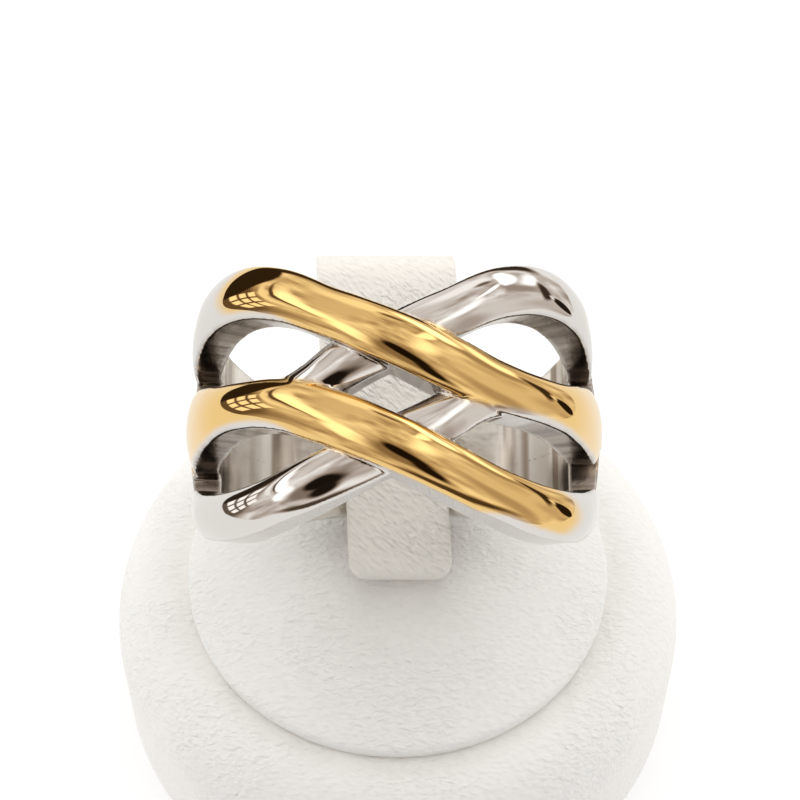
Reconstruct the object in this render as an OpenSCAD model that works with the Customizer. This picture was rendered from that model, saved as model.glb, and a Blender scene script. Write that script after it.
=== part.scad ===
// A two-tone crossover ring on a round leatherette stand with a clip.
// The ring is one casting: four bands cross over the finger and run into a plain shank.
// The stand is a round base, a low domed pad on it and a sloping clip that passes through the ring.
// Millimetres, +Z up. The origin is the middle of the base's underside.

/* [Ring] */
// Inside diameter of the ring, which is the finger size
finger_d = 17.3; // [15:0.1:21]
// Width of the crossing bands along the finger, at its widest
head_w = 13.2; // [10.5:0.1:15]
// Width across one band
band_w = 2.5; // [2:0.05:3]
// Thickness of metal under the rounded top of a band
band_wall = 1.15; // [0.8:0.05:1.8]
// Height of the rounded top of a band
band_dome = 1.15; // [0.5:0.05:1.5]
// Where the rounded top breaks off into the upright walls, in degrees round its curve
band_break = 30; // [0:1:45]
// How far the outer edges lie further back at the corners of the head
crest_shift = 0.2; // [0:0.05:0.4]
// How far the upper band rises where it crosses the lower one
cross_rise = 0.25; // [0:0.05:0.6]
// How far the lower band dips where it is crossed
cross_dip = 0.5; // [0.1:0.05:0.9]
// Width of the plain shank under the finger
shank_w = 4.2; // [3:0.1:7]
// Thickness of metal in the shank
shank_wall = 1.5; // [1:0.05:2.2]
// Angle from the middle of the head at which the slots between the bands end
slot_end = 91; // [86:0.5:98]

/* [Ring on the clip] */
// Slope of the clip and of the ring's axis above level
clip_tilt = 23.5; // [12:0.5:35]
// How far the ring's middle lies in front of the middle of the stand
ring_forward = 0.5; // [-1:0.1:2]
// How far the ring's middle lies to the left of the middle of the stand
ring_left = 0.15; // [-0.4:0.05:0.4]
// How far the head of the ring leans to the left, in degrees
ring_lean = 1; // [-4:0.5:4]
// Gap between the shank and the pad, and between the clip and the shank
seat_gap = 0.12; // [0.05:0.01:0.3]

/* [Stand] */
// Diameter of the round base
base_d = 31.4; // [31:0.1:50]
// Height of the round base
base_h = 9.5; // [7:0.5:16]
// Rounding of the base's upper edge
base_edge = 3.4; // [1:0.1:4]
// Rounding of the base's lower edge
base_foot = 0.6; // [0.2:0.1:1]
// Diameter of the domed pad on the base
pad_d = 23; // [16:0.5:24]
// Height of the pad at its middle
pad_h = 3.2; // [2:0.1:4]
// Height of the pad's edge
pad_edge = 0.7; // [0.4:0.1:1.2]
// Thickness of the clip
clip_thick = 1.6; // [1:0.1:2.4]
// Width of the clip at its free end
clip_tip_w = 5.4; // [4:0.1:6]
// Width of the clip at its bend
clip_root_w = 7.6; // [6:0.1:8.5]
// How far the clip's free end reaches in front of the middle of the ring
clip_reach = 5.9; // [4:0.1:7.5]
// Inner radius of the clip's bend
clip_bend = 0.6; // [0.4:0.1:1.5]
// How far behind the middle of the stand the clip's leg stands
clip_leg_y = 12.6; // [12.3:0.1:13]
// Rounding of the clip's corners at its free end
clip_corner = 0.9; // [0.3:0.1:1.5]
// How deep the leg goes into the base
leg_sink = 3; // [1:0.5:5]
// How far the clip runs to the left towards the back, in degrees; its ends stay square to the front
clip_skew = 3; // [-4:0.5:4]

/* [Hidden] */
$fn = 64;

bore_r = finger_d / 2;
// Metal left inside the bore by the swept shapes, which the round bore then cuts away.
// Each keeps its own depth, so that no two undersides lie in one surface.
upper_spare = 0.55;
lower_spare = 0.45;
shank_spare = 0.35;
// Gap round the clip's leg in its slot, and under the pad
fit_gap = 0.05;
pad_top = base_h + fit_gap + pad_h;
// Columns of the tables of sections
ANGLE = 0;
PLACE = 1;
WIDTH = 2;
WALL = 3;
DOME = 4;
FALL = 5;

// One upper band, from the left shoulder at the back to the middle of the right shoulder:
// angle from the middle of the head, place across the head as a share of head_w,
// width, wall and dome as shares of band_w, band_wall and band_dome, and how far the
// wall falls from the middle of the band to its outer edge as a share of band_wall
UPPER = [
    [-98, 0.287, 0.51, 0.34, 0.20, 0.20],
    [-90, 0.297, 0.84, 0.52, 0.50, 0.30],
    [-82, 0.312, 0.92, 0.58, 0.58, 0.30],
    [-75, 0.329, 0.99, 0.64, 0.70, 0.28],
    [-67, 0.358, 0.99, 0.73, 0.82, 0.25],
    [-59, 0.384, 1.00, 0.82, 0.92, 0.21],
    [-45, 0.397, 1.00, 0.90, 1.00, 0.20],
    [-32, 0.367, 0.95, 0.96, 1.00, 0.18],
    [-16, 0.282, 0.92, 0.98, 1.00, 0.12],
    [0, 0.184, 0.98, 1.00, 1.00, 0.05],
    [16, 0.091, 1.02, 0.98, 1.00, 0.00],
    [30, 0.028, 0.96, 0.96, 1.00, 0.00],
    [44, 0.006, 0.90, 0.92, 1.00, 0.00],
    [60, 0.000, 1.12, 0.87, 0.92, 0.00],
    [75, 0.000, 1.38, 0.81, 0.76, 0.00],
    [90, 0.000, 1.44, 0.74, 0.58, 0.00],
    [98, 0.000, 1.20, 0.50, 0.20, 0.00],
];

// One lower band, from the left shoulder at the front to where it runs under the upper
// band's right end. It is slimmer than the upper band where the two share a way.
LOWER = [
    [-98, -0.281, 0.44, 0.32, 0.20, -0.20],
    [-90, -0.290, 0.76, 0.47, 0.46, -0.26],
    [-82, -0.303, 0.82, 0.51, 0.54, -0.26],
    [-75, -0.322, 0.92, 0.58, 0.64, -0.26],
    [-67, -0.352, 0.91, 0.70, 0.77, -0.25],
    [-59, -0.381, 0.91, 0.81, 0.90, -0.22],
    [-45, -0.400, 0.93, 0.90, 0.98, -0.20],
    [-32, -0.373, 0.91, 0.95, 0.96, -0.18],
    [-16, -0.286, 0.93, 0.96, 0.92, -0.12],
    [0, -0.184, 0.97, 0.95, 0.88, -0.05],
    [11, -0.114, 0.94, 0.92, 0.86, 0.00],
    [17, -0.068, 0.88, 0.88, 0.84, 0.00],
    [22, -0.034, 0.80, 0.85, 0.82, 0.00],
    [28, -0.011, 0.70, 0.82, 0.78, 0.00],
    [38, 0.000, 0.58, 0.76, 0.70, 0.00],
];

// The shank, from a shoulder to the underside: angle from the middle of the head beyond
// slot_end, spread of its width from shank_w towards head_w as a share of the difference,
// and thickness at its edges and of the half round above them as shares of shank_wall
SPREAD = 1;
EDGE = 2;
CROWN = 3;
SHANK = [
    [0, 0.65, 0.22, 0.80],
    [9, 0.61, 0.24, 0.77],
    [21, 0.55, 0.28, 0.72],
    [29, 0.49, 0.32, 0.67],
    [39, 0.39, 0.36, 0.62],
    [49, 0.26, 0.40, 0.58],
    [64, 0.09, 0.43, 0.55],
    [89, 0.00, 0.45, 0.53],
];

// The slots between the bands end square. Each row is one of the four ends: side of the
// ring, and the slot's inner and outer side as shares of head_w from the ring's middle
SLOTS = [
    [-1, 0.134, 0.219],
    [-1, -0.144, -0.216],
    [1, 0.124, 0.208],
    [1, -0.062, -0.202],
];
// How far each square end reaches up from the shank's end face, and down into it
slot_reach = 2.2;
slot_bite = 0.06;

// The ring's middle is as high as the underside of its tilted shank needs to lie on the pad
foot = SHANK[len(SHANK) - 1];
shank_drop = (bore_r + foot[EDGE] * shank_wall) * cos(clip_tilt)
    + norm([foot[CROWN] * shank_wall * cos(clip_tilt), shank_w / 2 * sin(clip_tilt)]);
ring_z = pad_top + seat_gap + shank_drop;

// Reading a table smoothly between its rows
function row_at(table, angle, i = 0) =
    i >= len(table) - 2 || angle < table[i + 1][ANGLE] ? i : row_at(table, angle, i + 1);
function slope_at(table, i, column) =
    i <= 0 || i >= len(table) - 1 ? 0
    : (table[i + 1][column] - table[i - 1][column]) / (table[i + 1][ANGLE] - table[i - 1][ANGLE]);
function read_at(table, angle, column) =
    let (i = row_at(table, angle))
    let (step = table[i + 1][ANGLE] - table[i][ANGLE])
    let (s = (angle - table[i][ANGLE]) / step)
    let (a = table[i][column])
    let (b = table[i + 1][column])
    let (ma = slope_at(table, i, column) * step)
    let (mb = slope_at(table, i + 1, column) * step)
    a * (1 + 2 * s) * (1 - s) * (1 - s) + ma * s * (1 - s) * (1 - s)
        + b * s * s * (3 - 2 * s) + mb * s * s * (s - 1);

// A soft hump round the middle of the head, 1 where the bands cross and 0 beyond its reach
cross_reach = 30;
function hump(angle) = abs(angle) >= cross_reach ? 0 : pow(cos(90 * angle / cross_reach), 2);

// How much of the crests' shift a band has: all of it at the head's corners
function soft_step(low, high, x) = let (t = min(max((x - low) / (high - low), 0), 1)) t * t * (3 - 2 * t);
function crest(angle) = soft_step(-12, -32, angle) * soft_step(-84, -62, angle);

// A point of the ring: the angle from the middle of the head, the place along the finger
// and the distance from the ring's axis
function on_ring(angle, along, r) = [r * sin(angle), along, r * cos(angle)];

// Outline of a section as [place across, height above the bore]: a rounded top that breaks
// off into two upright walls at an angle round its curve
dome_steps = 9;
function section(half, wall, dome, spare, break) = concat(
    [[half, -spare]],
    [for (i = [0:dome_steps])
        let (a = break + (180 - 2 * break) * i / dome_steps)
        [half * cos(a) / cos(break), wall + dome * sin(a)]],
    [[-half, -spare]]
);

// A closed skin over rings of points that follow each other
module skin(rings) {
    n = len(rings[0]);
    last = len(rings) - 1;
    sides = [for (i = [0:last - 1], j = [0:n - 1])
        let (k = (j + 1) % n)
        for (f = [[i * n + j, (i + 1) * n + j, (i + 1) * n + k], [i * n + j, (i + 1) * n + k, i * n + k]]) f];
    front = [for (j = [0:n - 1]) j];
    back = [for (j = [n - 1:-1:0]) last * n + j];
    polyhedron(points = [for (r = rings) each r], faces = concat([front], sides, [back]));
}

// A band swept over the head. Each section stands square to the band's way round the ring.
band_steps = 44;
module band(table, lift, spare, shift) {
    first = table[0][ANGLE];
    turn = (table[len(table) - 1][ANGLE] - first) / band_steps;
    way_r = bore_r + band_wall;
    skin([for (i = [0:band_steps])
        let (angle = min(first + i * turn, table[len(table) - 1][ANGLE] - 0.001))
        let (ahead = read_at(table, angle + 0.0005, PLACE) - read_at(table, angle - 0.0005, PLACE))
        let (heading = atan(ahead * head_w / (0.001 * PI / 180 * way_r)))
        let (along = read_at(table, angle, PLACE) * head_w)
        let (half = read_at(table, angle, WIDTH) * band_w / 2)
        let (wall = read_at(table, angle, WALL) * band_wall + lift * hump(angle))
        let (dome = read_at(table, angle, DOME) * band_dome)
        let (fall = read_at(table, angle, FALL) * band_wall)
        let (grown = 1 + shift * crest(angle) / half)
        [for (p = section(half, wall, dome, spare, band_break))
            let (across = p[0] * table[0][PLACE] > 0 ? p[0] * grown : p[0])
            on_ring(
                angle - across * sin(heading) / way_r * 180 / PI,
                along + across * cos(heading),
                bore_r + (p[1] > 0 ? p[1] - fall * p[0] / half : p[1])
            )]
    ]);
}

// The shank and the two shoulders in one sweep under the finger
shank_steps = 40;
module shank() {
    skin([for (i = [0:shank_steps])
        let (angle = slot_end + (360 - 2 * slot_end) * i / shank_steps)
        let (row = min(angle, 360 - angle) - slot_end)
        let (half = (shank_w + read_at(SHANK, row, SPREAD) * (head_w - shank_w)) / 2)
        let (wall = read_at(SHANK, row, EDGE) * shank_wall)
        let (crown = read_at(SHANK, row, CROWN) * shank_wall)
        [for (p = section(half, wall, crown, shank_spare, 0)) on_ring(angle, p[0], bore_r + p[1])]
    ]);
}

// The ring in its own frame: its axis along Y and the middle of its head up
module ring_upright() {
    difference() {
        union() {
            shank();
            for (turn = [0, 180])
                rotate([0, 0, turn]) {
                    band(UPPER, cross_rise, upper_spare, turn == 0 ? crest_shift : -crest_shift);
                    band(LOWER, -cross_dip, lower_spare, turn == 0 ? -crest_shift : crest_shift);
                }
        }
        rotate([90, 0, 0])
            cylinder(r = bore_r, h = head_w * 2, center = true);
        for (s = SLOTS)
            rotate([0, s[0] * (slot_end - 90), 0])
                translate([s[0] > 0 ? 0 : -head_w, min(s[1], s[2]) * head_w, -slot_bite])
                    cube([head_w, abs(s[2] - s[1]) * head_w, slot_reach + slot_bite]);
    }
}

module ring() {
    color("gainsboro")
        translate([-ring_left, -ring_forward, ring_z])
            rotate([clip_tilt, 0, 0])
                rotate([0, -ring_lean, 0])
                    ring_upright();
}

// The clip's sloping part lies in the ring, its upper corners just clear of the bore
clip_under = sqrt(pow(bore_r, 2) - pow(clip_root_w / 2, 2)) - seat_gap;
// Middle of the clip's bend, under its sloping part and in front of its leg
bend_y = clip_leg_y - clip_bend;
bend_along = (bend_y + ring_forward - (clip_under + clip_bend) * sin(clip_tilt)) / cos(clip_tilt);
bend_z = ring_z + bend_along * sin(clip_tilt) - (clip_under + clip_bend) * cos(clip_tilt);

// Side view of the clip, [forward and back, up], from its free end over the bend to its foot
module clip_side() {
    outer = clip_bend + clip_thick;
    reach = clip_reach + bend_along;
    up = [-sin(clip_tilt), cos(clip_tilt)];
    back = [cos(clip_tilt), sin(clip_tilt)];
    difference() {
        union() {
            translate([-ring_forward, ring_z])
                rotate(clip_tilt)
                    translate([-clip_reach, -clip_under])
                        square([reach, clip_thick]);
            translate([bend_y, bend_z])
                circle(r = outer);
            translate([clip_leg_y, base_h - leg_sink])
                square([clip_thick, bend_z - base_h + leg_sink]);
        }
        translate([bend_y, bend_z]) {
            circle(r = clip_bend);
            polygon([
                [0, 0],
                clip_bend * up,
                clip_bend * up - reach * back,
                [0, -reach],
                [clip_bend, -reach],
                [clip_bend, 0],
            ]);
        }
    }
}

// Plan of the clip along its slope: a narrow free end with round corners that widens
// to the full width behind the middle of the ring
module clip_plan() {
    tip = clip_tip_w / 2;
    root = clip_root_w / 2;
    far = bend_along + clip_bend + clip_thick;
    flare_start = -0.3 * clip_reach;
    flare_end = 0.8 * clip_reach;
    for (side = [-1, 1])
        translate([side * (tip - clip_corner), clip_corner - clip_reach])
            circle(r = clip_corner);
    translate([clip_corner - tip, -clip_reach])
        square([2 * (tip - clip_corner), 2 * clip_corner]);
    polygon([
        [-tip, clip_corner - clip_reach],
        [tip, clip_corner - clip_reach],
        [tip, flare_start],
        [root, flare_end],
        [root, far],
        [-root, far],
        [-root, flare_end],
        [-tip, flare_start],
    ]);
}

// Moves what it is given to the left, the more the further back it lies
module skewed() {
    multmatrix([
        [1, -tan(clip_skew), 0, 0],
        [0, 1, 0, 0],
        [0, 0, 1, 0],
        [0, 0, 0, 1],
    ])
        children();
}

module clip() {
    color("whitesmoke")
        skewed()
            intersection() {
                rotate([90, 0, 90])
                    linear_extrude(2 * clip_root_w, center = true)
                        clip_side();
                translate([0, -ring_forward, ring_z])
                    rotate([clip_tilt, 0, 0])
                        linear_extrude(6 * clip_root_w, center = true)
                            clip_plan();
            }
}

// Slot in the base for the clip's leg
module leg_slot() {
    skewed()
        translate([-clip_root_w / 2 - fit_gap, clip_leg_y - fit_gap, base_h - leg_sink - fit_gap])
            cube([clip_root_w + 2 * fit_gap, clip_thick + 2 * fit_gap, leg_sink + 1]);
}

module base() {
    r = base_d / 2;
    color("white")
        difference() {
            rotate_extrude() {
                square([r - base_edge, base_h]);
                translate([0, base_foot])
                    square([r, base_h - base_edge - base_foot]);
                square([r - base_foot, base_foot * 2]);
                translate([r - base_foot, base_foot])
                    circle(r = base_foot);
                translate([r - base_edge, base_h - base_edge])
                    circle(r = base_edge);
            }
            leg_slot();
        }
}

// The pad is a shallow dome on a low upright edge
module pad() {
    r = pad_d / 2;
    rise = pad_h - pad_edge;
    cap = (r * r + rise * rise) / (2 * rise);
    color("white")
        translate([0, 0, base_h + fit_gap])
            rotate_extrude()
                intersection() {
                    square([r, pad_h]);
                    translate([0, pad_h - cap])
                        circle(r = cap, $fn = 720);
                }
}

ring();
base();
pad();
clip();
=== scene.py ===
import math
from functools import partial

import bmesh
import bpy
import numpy as np
from mathutils import Matrix, Vector


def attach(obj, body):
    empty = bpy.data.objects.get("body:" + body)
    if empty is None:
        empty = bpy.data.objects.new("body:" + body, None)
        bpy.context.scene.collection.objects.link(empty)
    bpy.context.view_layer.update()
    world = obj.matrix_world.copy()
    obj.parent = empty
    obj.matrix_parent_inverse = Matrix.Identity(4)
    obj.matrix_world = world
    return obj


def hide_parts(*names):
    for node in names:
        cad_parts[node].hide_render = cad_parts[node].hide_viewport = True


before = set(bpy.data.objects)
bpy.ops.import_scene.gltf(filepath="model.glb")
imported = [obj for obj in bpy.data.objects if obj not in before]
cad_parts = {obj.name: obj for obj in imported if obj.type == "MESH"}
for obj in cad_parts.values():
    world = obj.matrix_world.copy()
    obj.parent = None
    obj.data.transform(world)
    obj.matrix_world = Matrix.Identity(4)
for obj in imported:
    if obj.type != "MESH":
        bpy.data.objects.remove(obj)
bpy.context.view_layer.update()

print("frame loaded:", sorted(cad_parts))
mm = 0.001
stageParts = bpy.data.collections.new("studio")
ringParts = bpy.data.collections.new("crossoverRing")
standParts = bpy.data.collections.new("leatheretteStand")
for part in (stageParts, ringParts, standParts):
    bpy.context.scene.collection.children.link(part)


def linear(code, alpha=1.0):
    # an sRGB hex colour as linear numbers
    values = [int(code[i:i + 2], 16) / 255 for i in (1, 3, 5)]
    return [v / 12.92 if v <= 0.04045 else ((v + 0.055) / 1.055) ** 2.4 for v in values] + [alpha]


def addNode(tree, kind, inputs=(), **settings):
    # one node with its settings and links; a kind in capitals is an operation of the Math node
    if kind.isupper():
        kind, settings = "ShaderNodeMath", {"operation": kind, **settings}
    node = tree.nodes.new(kind)
    for name, value in settings.items():
        setattr(node, name, value)
    for place, value in (inputs.items() if isinstance(inputs, dict) else enumerate(inputs)):
        if isinstance(value, bpy.types.NodeSocket):
            tree.links.new(value, node.inputs[place])
        else:
            node.inputs[place].default_value = value
    return node.outputs[0] if len(node.outputs) else node


def newTree(name, inputs, outputs):
    # an empty Geometry Nodes tree with named inputs and outputs
    tree = bpy.data.node_groups.new(name, "GeometryNodeTree")
    for direction, sockets in (("INPUT", inputs), ("OUTPUT", outputs)):
        for label, kind in sockets.items():
            tree.interface.new_socket(label, in_out=direction, socket_type="NodeSocket" + kind)
    return tree, tree.nodes.new("NodeGroupInput").outputs, tree.nodes.new("NodeGroupOutput").inputs


def newPiece(name, mesh, collection, material=None):
    piece = bpy.data.objects.new(name, mesh)
    collection.objects.link(piece)
    if material:
        mesh.materials.clear()
        mesh.materials.append(material)
    return piece


def newMaterial(name):
    material = bpy.data.materials.new(name)
    material.use_nodes = True
    shader = material.node_tree.nodes["Principled BSDF"]
    return material, material.node_tree, shader, partial(addNode, material.node_tree)


# settings that many nodes share
softly = {"interpolation_type": "SMOOTHSTEP"}
inColour = {"data_type": "RGBA"}


# The ring: four bands cross in pairs over the finger and run into one shank.
# Lengths in millimetres, in the ring's own frame: finger along Y, head up.
ring = {
    "sizes": {
        "Finger Diameter": 17.3, "Head Width": 13.2, "Band Width": 2.5, "Band Wall": 1.15, "Band Dome": 1.15,
        "Cross Rise": 0.25, "Cross Dip": 0.5, "Shank Width": 4.2, "Shank Wall": 1.5, "Slot End": 91.0,
        "Crest Shift": 0.2,
    },
    "left": 0.15, "forward": 0.5, "height": 22.532, "tilt": 23.5, "lean": 1.0,  # where it lies on the stand
    "voxel": 0.13,  # size of the grid that the surface is first found on
    "gridLow": (-10.9, -7.1, -10.6), "gridHigh": (10.9, 7.1, 11.7),
    # how the grid's points are drawn onto the true shape
    "slopeStep": 0.03, "normalStep": 0.05, "leastSlope": 0.05, "farthestPull": 0.2, "pulls": 3,
    # angle from the middle of the head, place along the finger, width, wall, dome, fall to the outer edge
    "upper": [
        (-98, 0.287, 0.51, 0.34, 0.20, 0.20), (-90, 0.297, 0.84, 0.52, 0.50, 0.30),
        (-82, 0.312, 0.92, 0.58, 0.58, 0.30), (-75, 0.329, 0.99, 0.64, 0.70, 0.28),
        (-67, 0.358, 0.99, 0.73, 0.82, 0.25), (-59, 0.384, 1.00, 0.82, 0.92, 0.21),
        (-45, 0.397, 1.00, 0.90, 1.00, 0.20), (-32, 0.367, 0.95, 0.96, 1.00, 0.18),
        (-16, 0.282, 0.92, 0.98, 1.00, 0.12), (0, 0.184, 0.98, 1.00, 1.00, 0.05),
        (16, 0.091, 1.02, 0.98, 1.00, 0.00), (30, 0.028, 0.96, 0.96, 1.00, 0.00),
        (44, 0.006, 0.90, 0.92, 1.00, 0.00), (60, 0.000, 1.12, 0.87, 0.92, 0.00),
        (75, 0.000, 1.38, 0.81, 0.76, 0.00), (90, 0.000, 1.44, 0.74, 0.58, 0.00),
        (98, 0.000, 1.20, 0.50, 0.20, 0.00),
    ],
    "lower": [
        (-98, -0.281, 0.44, 0.32, 0.20, -0.20), (-90, -0.290, 0.76, 0.47, 0.46, -0.26),
        (-82, -0.303, 0.82, 0.51, 0.54, -0.26), (-75, -0.322, 0.92, 0.58, 0.64, -0.26),
        (-67, -0.352, 0.91, 0.70, 0.77, -0.25), (-59, -0.381, 0.91, 0.81, 0.90, -0.22),
        (-45, -0.400, 0.93, 0.90, 0.98, -0.20), (-32, -0.373, 0.91, 0.95, 0.96, -0.18),
        (-16, -0.286, 0.93, 0.96, 0.92, -0.12), (0, -0.184, 0.97, 0.95, 0.88, -0.05),
        (11, -0.114, 0.94, 0.92, 0.86, 0.00), (17, -0.068, 0.88, 0.88, 0.84, 0.00),
        (22, -0.034, 0.80, 0.85, 0.82, 0.00), (28, -0.011, 0.70, 0.82, 0.78, 0.00),
        (38, 0.000, 0.58, 0.76, 0.70, 0.00),
    ],
    # angle beyond the slot's end, spread of the width, edge and crown of the half round section
    "shank": [
        (0, 0.65, 0.22, 0.80), (9, 0.61, 0.24, 0.77), (21, 0.55, 0.28, 0.72), (29, 0.49, 0.32, 0.67),
        (39, 0.39, 0.36, 0.62), (49, 0.26, 0.40, 0.58), (64, 0.09, 0.43, 0.55), (89, 0.00, 0.45, 0.53),
    ],
    # the square slot ends: side of the ring, inner and outer side as shares of the head's width
    "slots": [(-1, 0.134, 0.219), (-1, -0.144, -0.216), (1, 0.124, 0.208), (1, -0.062, -0.202)],
    "slotReach": 2.2, "slotBite": 0.06, "slotRound": 0.08,
    "boreRound": 0.16,  # polishing takes the bore's edges off
    "creaseFillet": 0.18, "shoulderFillet": 0.6, "filletAngles": (50, 84), "shankFillet": 0.45,
    "crossAngle": 30, "farthestSide": 1.3,  # how far the bands rise and dip at a crossing, and fall beside it
    "crestStart": (-84, -62), "crestEnd": (-32, -12),  # angles over which a crest is shifted
    "break": 30.0, "edgeRound": 0.09,  # where the rounded top breaks off into the upright walls, and how softly
    # soft edges of the gold: angles in degrees, places across a band in half widths, distances in millimetres
    "gold": {
        "climb": (0.28, 0.44),  # angle over the band's edge, in radians
        "border": (14, 34, 1.25, 0.74), "borderEnd": (40, 66, 0, 0.16), "borderSoft": 0.07,
        "halo": [(-53, -46), (-58, -50)], "haloRound": 7, "innerEnd": (88, 97),
        "over": (-0.12, -0.02), "spare": (45, 62, 0, 0.5), "near": (0.15, 0.4),
    },
}
sizeSockets = {name: "Float" for name in ring["sizes"]}
perDegree = math.pi / 180


def readColumn(tree, rows, column, share):
    # a table's column as a smooth curve over its angles
    value = addNode(tree, "ShaderNodeFloatCurve", {"Value": share})
    mapping = value.node.mapping
    mapping.use_clip = False
    first, last = rows[0][0], rows[-1][0]
    points = mapping.curves[0].points
    points[0].location = (0, rows[0][column])
    points[1].location = (1, rows[-1][column])
    for row in rows[1:-1]:
        points.new((row[0] - first) / (last - first), row[column])
    mapping.update()
    return value


def addSection(n, across, half, wall, dome, height, widen=1.0, edge=0.2):
    # distance from a section with upright walls and an elliptical top, and the height on that top
    up = n("MAXIMUM", (0, n("DIVIDE", (n("SUBTRACT", (height, wall)), dome))))
    wide = n("MULTIPLY", (half, widen))
    u = n("DIVIDE", (across, wide))
    rho = n("SQRT", (n("ADD", (n("MULTIPLY", (u, u)), n("MULTIPLY", (up, up)))),))
    du = n("DIVIDE", (u, wide))
    dv = n("DIVIDE", (up, dome))
    steep = n("MAXIMUM", (n("SQRT", (n("ADD", (n("MULTIPLY", (du, du)), n("MULTIPLY", (dv, dv)))),)), 0.0001))
    top = n("DIVIDE", (n("MULTIPLY", (rho, n("SUBTRACT", (rho, 1)))), steep))
    flank = n("SUBTRACT", (n("ABSOLUTE", (across,)), half))
    return n("SMOOTH_MAX", (top, flank, edge)), up


def bandTree(name, rows, lift):
    # how far a point is from one band, from its angle, its place along the finger and its height over the bore
    tree, given, result = newTree(
        name, {"Angle": "Float", "Along": "Float", "Height": "Float", **sizeSockets},
        {"Distance": "Float", "Across": "Float", "Up": "Float"})
    n = partial(addNode, tree)
    first, last = rows[0][0], rows[-1][0]
    step = 0.006  # share of the table over which its slope is taken
    wayRadius = n("ADD", (n("MULTIPLY", (given["Finger Diameter"], 0.5)), given["Band Wall"]))
    share = n("ShaderNodeMapRange", (given["Angle"], first, last, 0, 1))
    ahead = readColumn(tree, rows, 1, n("ADD", (share, step)))
    behind = readColumn(tree, rows, 1, n("SUBTRACT", (share, step)))
    perShare = n("MULTIPLY", (wayRadius, (last - first) * perDegree * 2 * step))
    slope = n("DIVIDE", (n("MULTIPLY", (n("SUBTRACT", (ahead, behind)), given["Head Width"])), perShare))
    cosine = n("INVERSE_SQRT", (n("ADD", (n("MULTIPLY", (slope, slope)), 1)),))
    sine = n("MULTIPLY", (slope, cosine))
    near = n("MULTIPLY", (readColumn(tree, rows, 1, share), given["Head Width"]))
    firstAcross = n("MULTIPLY", (n("SUBTRACT", (given["Along"], near)), cosine))
    # the section that passes through the point stands square to the band
    turned = n("DIVIDE", (n("MULTIPLY", (firstAcross, sine)), n("MULTIPLY", (wayRadius, perDegree))))
    foot = n("ShaderNodeMapRange", (n("ADD", (given["Angle"], turned)), first, last, 0, 1))
    middle = n("MULTIPLY", (readColumn(tree, rows, 1, foot), given["Head Width"]))
    across = n("ADD", (
        n("MULTIPLY", (n("SUBTRACT", (given["Along"], middle)), cosine)),
        n("MULTIPLY", (firstAcross, n("MULTIPLY", (sine, sine))))))
    half = n("MULTIPLY", (readColumn(tree, rows, 2, foot), n("MULTIPLY", (given["Band Width"], 0.5))))
    # at the head's corners the back crests are wider, the front ones narrower
    outer = 1 if rows[0][1] > 0 else -1
    crest = n("MULTIPLY", (
        n("ShaderNodeMapRange", (given["Angle"], *ring["crestEnd"], 1, 0), **softly),
        n("ShaderNodeMapRange", (given["Angle"], *ring["crestStart"], 0, 1), **softly)))
    grown = n("DIVIDE", (n("MULTIPLY", (given["Crest Shift"], crest)), half))
    grown = n("MULTIPLY", (grown, n("GREATER_THAN", (n("MULTIPLY", (across, outer)), 0))))
    across = n("DIVIDE", (across, n("ADD", (grown, 1))))
    beside = n("MINIMUM", (ring["farthestSide"], n("DIVIDE", (across, half))))
    side = n("MAXIMUM", (-ring["farthestSide"], beside))
    reach = n("MAXIMUM", (-1, n("MINIMUM", (1, n("DIVIDE", (given["Angle"], ring["crossAngle"]))))))
    hump = n("POWER", (n("COSINE", (n("MULTIPLY", (reach, math.pi / 2)),)), 2))
    flat = n("MULTIPLY", (
        n("SUBTRACT", (
            readColumn(tree, rows, 3, foot),
            n("MULTIPLY", (readColumn(tree, rows, 5, foot), side)))),
        given["Band Wall"]))
    raised = n("MULTIPLY", (given["Cross Rise" if lift > 0 else "Cross Dip"], lift))
    wall = n("ADD", (flat, n("MULTIPLY", (hump, raised))))
    dome = n("MULTIPLY", (readColumn(tree, rows, 4, foot), given["Band Dome"]))
    crisp = 1 / math.cos(math.radians(ring["break"]))
    distance, up = addSection(n, across, half, wall, dome, given["Height"], crisp, ring["edgeRound"])
    beyond = n("MAXIMUM", (n("SUBTRACT", (first, given["Angle"])), n("SUBTRACT", (given["Angle"], last))))
    end = n("MULTIPLY", (beyond, n("MULTIPLY", (wayRadius, perDegree))))
    tree.links.new(n("MAXIMUM", (distance, end)), result["Distance"])
    tree.links.new(side, result["Across"])
    tree.links.new(up, result["Up"])
    return tree


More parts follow.
